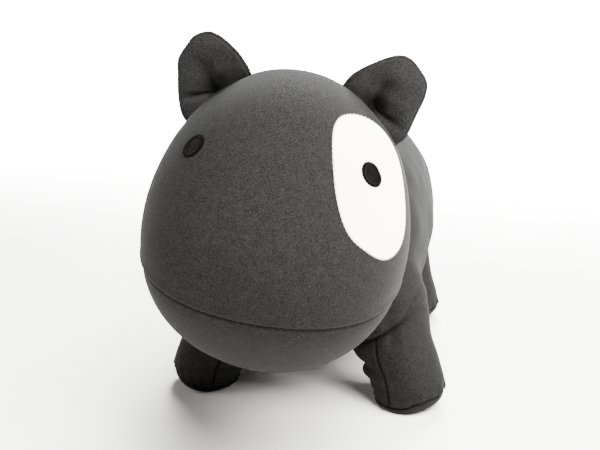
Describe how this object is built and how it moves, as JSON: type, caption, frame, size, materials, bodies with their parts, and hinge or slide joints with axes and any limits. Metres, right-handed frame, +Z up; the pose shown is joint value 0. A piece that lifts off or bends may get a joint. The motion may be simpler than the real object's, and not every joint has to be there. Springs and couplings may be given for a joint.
{
  "type": "plush dog",
  "caption": "Stuffed plush dog standing on short splayed legs, with an egg-shaped head, upright ears, a stitched mouth line, embroidered eyes and a pale patch round its left eye.",
  "frame": {"origin": "middle of the dog's footprint, on the surface that its soles stand on", "axes": "+Z up; the dog faces -Y; +X is the dog's own left, the side with the pale eye patch"},
  "size_m": [0.1656, 0.3226, 0.2242],
  "materials": {
    "charcoal_knit": "brushed stretch knit with a soft fine grain",
    "cream_felt": "matt fine felt",
    "black_thread": "satin embroidery thread",
    "fibre_filling": "loose polyester fibre"
  },
  "bodies": {
    "body": {"left_side_panel": "charcoal_knit", "right_side_panel": "charcoal_knit", "belly_gusset": "charcoal_knit", "body_stuffing": "fibre_filling"},
    "neck": {"neck_seam_thread": "black_thread"},
    "head": {"head_upper_panel": "charcoal_knit", "jaw_panel": "charcoal_knit", "head_stuffing": "fibre_filling", "mouth_thread": "black_thread", "eye_patch": "cream_felt", "left_eye": "black_thread", "right_eye": "black_thread"},
    "left_ear": {"left_ear_front_panel": "charcoal_knit", "left_ear_back_panel": "charcoal_knit", "left_ear_wadding": "fibre_filling"},
    "right_ear": {"right_ear_front_panel": "charcoal_knit", "right_ear_back_panel": "charcoal_knit", "right_ear_wadding": "fibre_filling"},
    "front_left_leg": {"front_left_leg_cover": "charcoal_knit", "front_left_leg_stuffing": "fibre_filling", "front_left_sole": "charcoal_knit"},
    "front_right_leg": {"front_right_leg_cover": "charcoal_knit", "front_right_leg_stuffing": "fibre_filling", "front_right_sole": "charcoal_knit"},
    "rear_left_leg": {"rear_left_leg_cover": "charcoal_knit", "rear_left_leg_stuffing": "fibre_filling", "rear_left_sole": "charcoal_knit"},
    "rear_right_leg": {"rear_right_leg_cover": "charcoal_knit", "rear_right_leg_stuffing": "fibre_filling", "rear_right_sole": "charcoal_knit"},
    "tail": {"tail_cover": "charcoal_knit", "tail_stuffing": "fibre_filling"}
  },
  "joints": [
    {"name": "head_turn", "type": "hinge", "parent": "body", "child": "neck", "pos_m": [0, -0.022, 0.123], "axis": [0, 0, 1], "range_deg": [-15, 15], "stiffness_Nm_per_rad": 4},
    {"name": "head_nod", "type": "hinge", "parent": "neck", "child": "head", "pos_m": [0, -0.022, 0.123], "axis": [1, 0, 0], "range_deg": [-10, 10], "stiffness_Nm_per_rad": 8},
    {"name": "left_ear_fold", "type": "hinge", "parent": "head", "child": "left_ear", "pos_m": [0.04458, -0.06565, 0.17967], "axis": [0.6385, 0.1277, -0.759], "range_deg": [-25, 25], "stiffness_Nm_per_rad": 0.05},
    {"name": "right_ear_fold", "type": "hinge", "parent": "head", "child": "right_ear", "pos_m": [-0.02925, -0.07597, 0.19078], "axis": [-0.8402, -0.0791, -0.5364], "range_deg": [-25, 25], "stiffness_Nm_per_rad": 0.05},
    {"name": "front_left_hip", "type": "hinge", "parent": "body", "child": "front_left_leg", "pos_m": [0.05, -0.008, 0.06], "axis": [1, 0, 0], "range_deg": [-15, 15], "stiffness_Nm_per_rad": 3},
    {"name": "front_right_hip", "type": "hinge", "parent": "body", "child": "front_right_leg", "pos_m": [-0.05, -0.008, 0.06], "axis": [1, 0, 0], "range_deg": [-15, 15], "stiffness_Nm_per_rad": 3},
    {"name": "rear_left_hip", "type": "hinge", "parent": "body", "child": "rear_left_leg", "pos_m": [0.04, 0.102, 0.058], "axis": [1, 0, 0], "range_deg": [-15, 15], "stiffness_Nm_per_rad": 3},
    {"name": "rear_right_hip", "type": "hinge", "parent": "body", "child": "rear_right_leg", "pos_m": [-0.04, 0.102, 0.058], "axis": [1, 0, 0], "range_deg": [-15, 15], "stiffness_Nm_per_rad": 3},
    {"name": "tail_wag", "type": "hinge", "parent": "body", "child": "tail", "pos_m": [0, 0.1394, 0.112], "axis": [0, 0, 1], "range_deg": [-25, 25], "stiffness_Nm_per_rad": 0.05}
  ]
}
